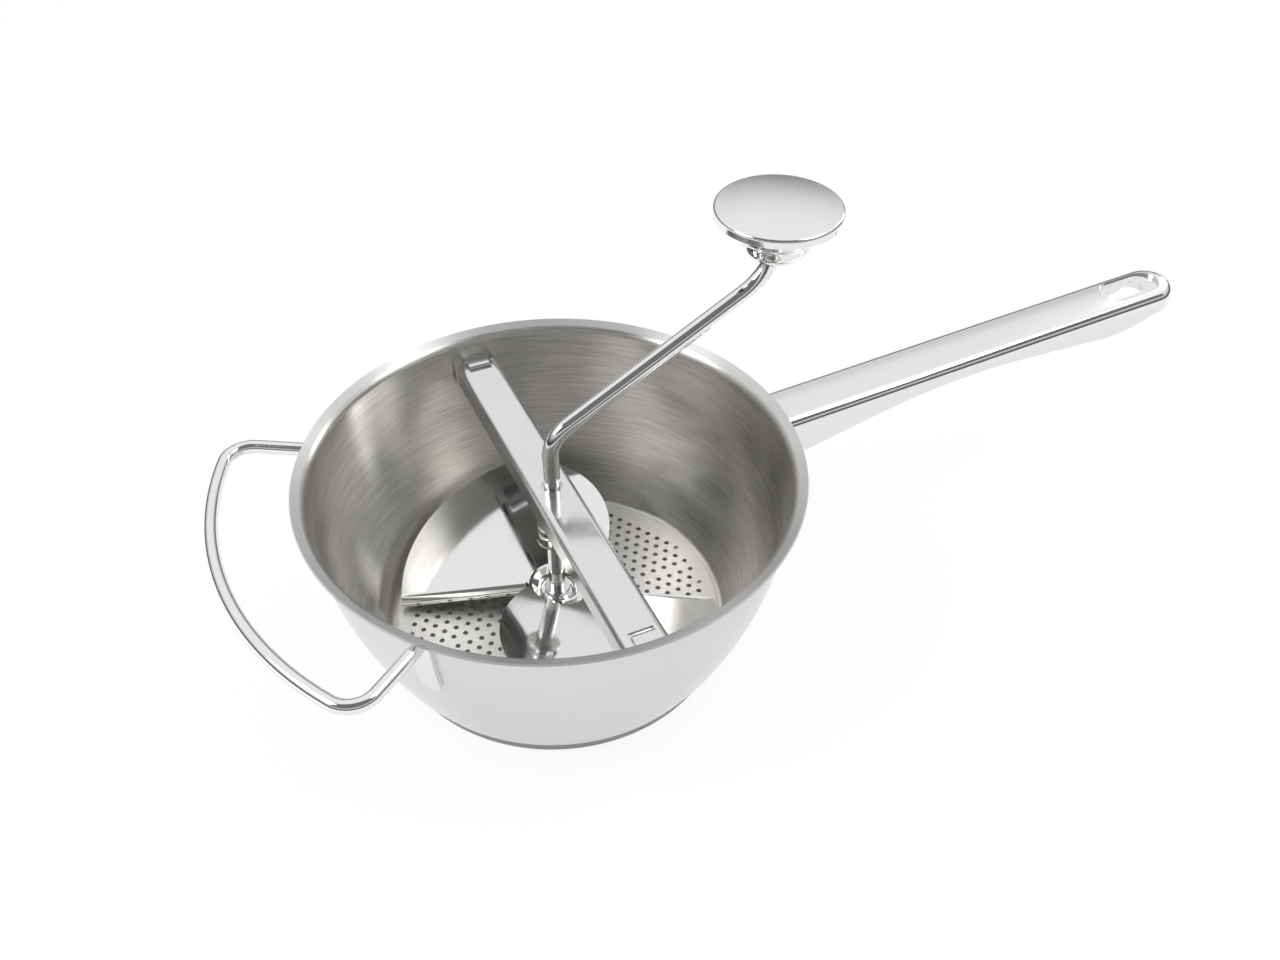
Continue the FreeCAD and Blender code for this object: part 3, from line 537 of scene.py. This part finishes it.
def straight_steel(name, colour, roughness, polish=None):
    """Steel brushed along X; given a polish, its bends and sides take it."""
    steel = Steel(name, colour, roughness)
    brushing = use_group(steel.tree, "Straight Brushing", {"Position": steel.coordinates["Object"]})
    steel.vary_colour(brushing["Streaks"], depth=0.07)
    steel.vary_roughness(brushing["Patches"], swing=0.04, polish=polish)
    steel.groove(brushing["Lines"], depth=0.000003)
    return steel.material


def satin_steel(name, colour, roughness, polish):
    """Fine satin without a direction, with polished bends and sides."""
    steel = Steel(name, colour, roughness)
    marks = use_group(steel.tree, "Handling Marks", {"Position": steel.coordinates["Object"]})
    steel.vary_colour(marks["Smudges"], depth=0.03)
    steel.vary_roughness(marks["Smudges"], swing=0.01, polish=polish)
    return steel.material


def dress(material, *names):
    """Give a material to CAD nodes."""
    for name in names:
        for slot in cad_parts[name].material_slots:
            slot.material = material


# Pieces


class FOODMILL_OT_bowl(Operator):
    """Finish the spun bowl and the foot band under it"""

    bl_idname = "food_mill.bowl"
    bl_label = "Bowl and foot"

    def execute(self, context):
        settings = finishes()
        dress(bowl_steel(), "bowl")
        # The foot takes a colour darkened as painted shade, for the shadow under the bowl
        foot = spun_steel("Satin Foot Steel", settings.foot_painted_shade_colour, settings.foot_roughness)
        dress(foot, "foot_ring")
        return {"FINISHED"}


class FOODMILL_OT_sieve(Operator):
    """Finish the perforated disc and its eyelet"""

    bl_idname = "food_mill.sieve"
    bl_label = "Sieve"

    def execute(self, context):
        settings = finishes()
        steel = straight_steel("Sieve Steel", settings.sieve_colour, settings.sieve_roughness)
        dress(steel, "sieve_disc")
        eyelet = spun_steel("Turned Steel", settings.turned_colour, settings.sleeve_roughness)
        dress(eyelet, "disc_bush")
        return {"FINISHED"}


class FOODMILL_OT_blade(Operator):
    """Finish the mirror polished blade"""

    bl_idname = "food_mill.blade"
    bl_label = "Blade"

    def execute(self, context):
        settings = finishes()
        steel = polished_steel("Mirror Sheet Steel", settings.blade_colour, settings.polish_roughness)
        dress(steel, "blade")
        return {"FINISHED"}


class FOODMILL_OT_crossbar(Operator):
    """Finish the crossbar and the two hooks that hold it"""

    bl_idname = "food_mill.crossbar"
    bl_label = "Crossbar and hooks"

    def execute(self, context):
        settings = finishes()
        steel = polished_steel("Bright Pressed Steel", settings.bar_colour, settings.sheet_roughness)
        dress(steel, "crossbar", "hook_front", "hook_back")
        return {"FINISHED"}


class FOODMILL_OT_spring(Operator):
    """Finish the spring, its washers, the pins and the collar"""

    bl_idname = "food_mill.spring"
    bl_label = "Spring, pins and collar"

    def execute(self, context):
        settings = finishes()
        turned = spun_steel("Turned Shaft Steel", settings.turned_colour, settings.shaft_roughness)
        dress(turned, "upper_washer", "lower_washer", "hub_collar", "blade_pin", "spring_pin")
        wire = polished_steel("Drawn Spring Wire", settings.spring_colour, settings.spring_roughness)
        dress(wire, "spring")
        return {"FINISHED"}


class FOODMILL_OT_crank(Operator):
    """Finish the cranked rod and the wire loop"""

    bl_idname = "food_mill.crank"
    bl_label = "Crank rod and loop handle"

    def execute(self, context):
        settings = finishes()
        steel = polished_steel("Polished Wire Steel", settings.wire_colour, settings.polish_roughness)
        dress(steel, "crank_rod", "loop_handle")
        return {"FINISHED"}


class FOODMILL_OT_handle(Operator):
    """Finish the long stamped handle"""

    bl_idname = "food_mill.handle"
    bl_label = "Long handle"

    def execute(self, context):
        settings = finishes()
        steel = straight_steel(
            "Satin Handle Steel",
            settings.handle_colour,
            settings.handle_roughness,
            settings.polish_roughness,
        )
        dress(steel, "long_handle")
        return {"FINISHED"}


class FOODMILL_OT_knob(Operator):
    """Finish the knob's cap and shell, and its sleeve with the stop and clip"""

    bl_idname = "food_mill.knob"
    bl_label = "Knob"

    def execute(self, context):
        settings = finishes()
        cap = satin_steel(
            "Satin Knob Steel", settings.knob_colour, settings.knob_roughness, settings.polish_roughness
        )
        dress(cap, "knob_cap")
        shell = polished_steel("Polished Knob Steel", settings.wire_colour, settings.polish_roughness)
        dress(shell, "knob_shell")
        sleeve = spun_steel(
            "Knob Sleeve Steel", settings.turned_colour, settings.sleeve_roughness, KNOB_CENTRE
        )
        dress(sleeve, "knob_bush", "knob_stop", "knob_clip")
        return {"FINISHED"}


# Stage


def white_floor(stage):
    """A floor that is seen white, keeps a faint shadow and lies dark under the bowl."""
    material = bpy.data.materials.new("White Floor")
    material.use_nodes = True
    tree = material.node_tree
    tree.nodes.remove(tree.nodes["Principled BSDF"])
    path = shader_node(tree, "ShaderNodeLightPath").outputs
    place = shader_node(tree, "ShaderNodeTexCoord").outputs["Object"]

    beyond_foot = number_step(tree, "GREATER_THAN", vector_measure(tree, "LENGTH", place), FOOT_REACH)
    from_table = vector_measure(tree, "DISTANCE", place, tuple(stage.table_place))
    table_end = TABLE_EDGE * stage.table_reach
    on_table = spread(tree, from_table, 1.0, stage.dark_level, start=stage.table_reach, end=table_end)
    aside = (math.cos(stage.camera_heading), -math.sin(stage.camera_heading), 0.0)
    side = vector_measure(tree, "DOT_PRODUCT", place, aside)
    shade = spread(tree, side, stage.floor_shade, 1.0, start=SHADE_START, end=SHADE_END)
    table = number_step(tree, "MULTIPLY", on_table, shade)
    mirrored = number_step(tree, "MULTIPLY", path["Is Glossy Ray"], table)
    seen = number_step(tree, "MAXIMUM", path["Is Camera Ray"], path["Is Transmission Ray"])
    shown = number_step(tree, "MULTIPLY", number_step(tree, "MAXIMUM", seen, mirrored), beyond_foot)

    cloth = shader_node(tree, "ShaderNodeBsdfDiffuse", {"Color": CLOTH_COLOUR})
    glow = shader_node(tree, "ShaderNodeEmission", {"Color": WHITE, "Strength": 1.0})
    share = number_step(tree, "MULTIPLY", shown, GLOW_SHARE)
    mixed = shader_node(tree, "ShaderNodeMixShader", {0: share, 1: cloth.outputs[0], 2: glow.outputs[0]})
    tree.links.new(mixed.outputs[0], tree.nodes["Material Output"].inputs["Surface"])
    return material


def studio_world(stage):
    """White to the eye; steel mirrors light ahead and overhead, a dark room below, a dark screen behind."""
    world = bpy.data.worlds.new("Studio")
    world.use_nodes = True
    tree = world.node_tree
    path = shader_node(tree, "ShaderNodeLightPath").outputs
    heading = shader_node(tree, "ShaderNodeTexCoord").outputs["Generated"]
    height = coordinate(tree, heading, "Z")
    ahead = (math.sin(stage.camera_heading), math.cos(stage.camera_heading), 0.0)
    depth = vector_measure(tree, "DOT_PRODUCT", heading, ahead)

    above_room = spread(tree, height, 0.0, 1.0, start=stage.room_low, end=stage.room_high)
    behind = spread(tree, depth, 1.0, 0.0, start=stage.screen_behind, end=stage.screen_ahead)
    above_foot = spread(tree, height, 0.0, 1.0, start=stage.screen_low, end=stage.screen_high)
    screen = number_step(tree, "MULTIPLY", behind, above_foot)
    open_sky = spread(tree, screen, 1.0, stage.screen_level)
    lit = number_step(tree, "MULTIPLY", above_room, open_sky)
    mirrored = spread(tree, lit, stage.dark_level, 1.0)

    unseen = blend_numbers(tree, path["Is Glossy Ray"], stage.sky_strength, mirrored)
    seen = number_step(tree, "MAXIMUM", path["Is Camera Ray"], path["Is Transmission Ray"])
    sky = tree.nodes["Background"]
    sky.inputs["Color"].default_value = WHITE
    tree.links.new(blend_numbers(tree, seen, unseen, 1.0), sky.inputs["Strength"])
    return world


def add_sheet(name, width, height, material, matrix):
    """A flat sheet of the stage."""
    mesh = bpy.data.meshes.new(name)
    corners = [(x * width / 2, y * height / 2, 0.0) for x, y in ((-1, -1), (1, -1), (1, 1), (-1, 1))]
    mesh.from_pydata(corners, [], [(0, 1, 2, 3)])
    mesh.materials.append(material)
    sheet = bpy.data.objects.new(name, mesh)
    sheet.matrix_world = matrix
    bpy.context.scene.collection.objects.link(sheet)


def aimed(place, target):
    """A matrix at a place whose -Z looks at a target."""
    place = Vector(place)
    look = (Vector(target) - place).to_track_quat("-Z", "Y")
    return Matrix.Translation(place) @ look.to_matrix().to_4x4()


def add_lamp(name, place, width, height, power):
    """A soft lamp that looks at the middle of the bowl's mouth."""
    lamp = bpy.data.lights.new(name, "AREA")
    lamp.shape = "RECTANGLE"
    lamp.size = width
    lamp.size_y = height
    lamp.energy = power
    holder = bpy.data.objects.new(name, lamp)
    holder.matrix_world = aimed(place, (0.0, 0.0, BOWL_HIGH.z))
    bpy.context.scene.collection.objects.link(holder)


def add_camera(stage):
    """The camera, placed and turned by its settings."""
    camera = bpy.data.cameras.new("camera")
    camera.sensor_width = SENSOR_WIDTH
    camera.lens = stage.lens_length
    holder = bpy.data.objects.new("camera", camera)
    holder.matrix_world = (
        Matrix.Translation(stage.camera_place)
        @ Matrix.Rotation(-stage.camera_heading, 4, "Z")
        @ Matrix.Rotation(math.pi / 2 - stage.camera_pitch, 4, "X")
        @ Matrix.Rotation(stage.camera_roll, 4, "Z")
    )
    bpy.context.scene.collection.objects.link(holder)
    return holder


class FOODMILL_OT_stage(Operator):
    """Set up the floor, lamps, surroundings and camera"""

    bl_idname = "food_mill.stage"
    bl_label = "Stage"

    def execute(self, context):
        stage = stage_settings()
        scene = context.scene
        reach = 2 * stage.floor_reach
        add_sheet("floor", reach, reach, white_floor(stage), Matrix.Translation((0.0, 0.0, -FLOOR_GAP)))
        for side, place, width, height in LAMPS:
            add_lamp(f"{side}_lamp", place, width, height, getattr(stage, f"{side}_power"))
        scene.world = studio_world(stage)
        scene.camera = add_camera(stage)
        scene.view_settings.view_transform = "Standard"
        return {"FINISHED"}


OPERATORS = (
    FOODMILL_OT_bowl,
    FOODMILL_OT_sieve,
    FOODMILL_OT_blade,
    FOODMILL_OT_crossbar,
    FOODMILL_OT_spring,
    FOODMILL_OT_crank,
    FOODMILL_OT_handle,
    FOODMILL_OT_knob,
    FOODMILL_OT_stage,
)


class FOODMILL_PT_sidebar(Panel):
    """Lists the finishes and the stage"""

    bl_idname = "FOODMILL_PT_sidebar"
    bl_label = "Food Mill"
    bl_space_type = "VIEW_3D"
    bl_region_type = "UI"
    bl_category = "Food Mill"

    def draw(self, context):
        for operator in OPERATORS:
            self.layout.operator(operator.bl_idname)
        for settings in (context.scene.food_mill_finishes, context.scene.food_mill_stage):
            for name in settings.bl_rna.properties.keys():
                if name not in ("rna_type", "name"):
                    self.layout.prop(settings, name)


CLASSES = (FoodMillFinishes, FoodMillStage, *OPERATORS, FOODMILL_PT_sidebar)


def register():
    """Register the classes and put the settings on the scene."""
    for entry in CLASSES:
        bpy.utils.register_class(entry)
    bpy.types.Scene.food_mill_finishes = PointerProperty(type=FoodMillFinishes)
    bpy.types.Scene.food_mill_stage = PointerProperty(type=FoodMillStage)


def unregister():
    """Take the settings off the scene and unregister the classes."""
    del bpy.types.Scene.food_mill_stage
    del bpy.types.Scene.food_mill_finishes
    for entry in reversed(CLASSES):
        bpy.utils.unregister_class(entry)


def main():
    """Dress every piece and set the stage."""
    register()
    for operator in OPERATORS:
        group, name = operator.bl_idname.split(".")
        getattr(getattr(bpy.ops, group), name)()


if __name__ == "__main__":
    main()
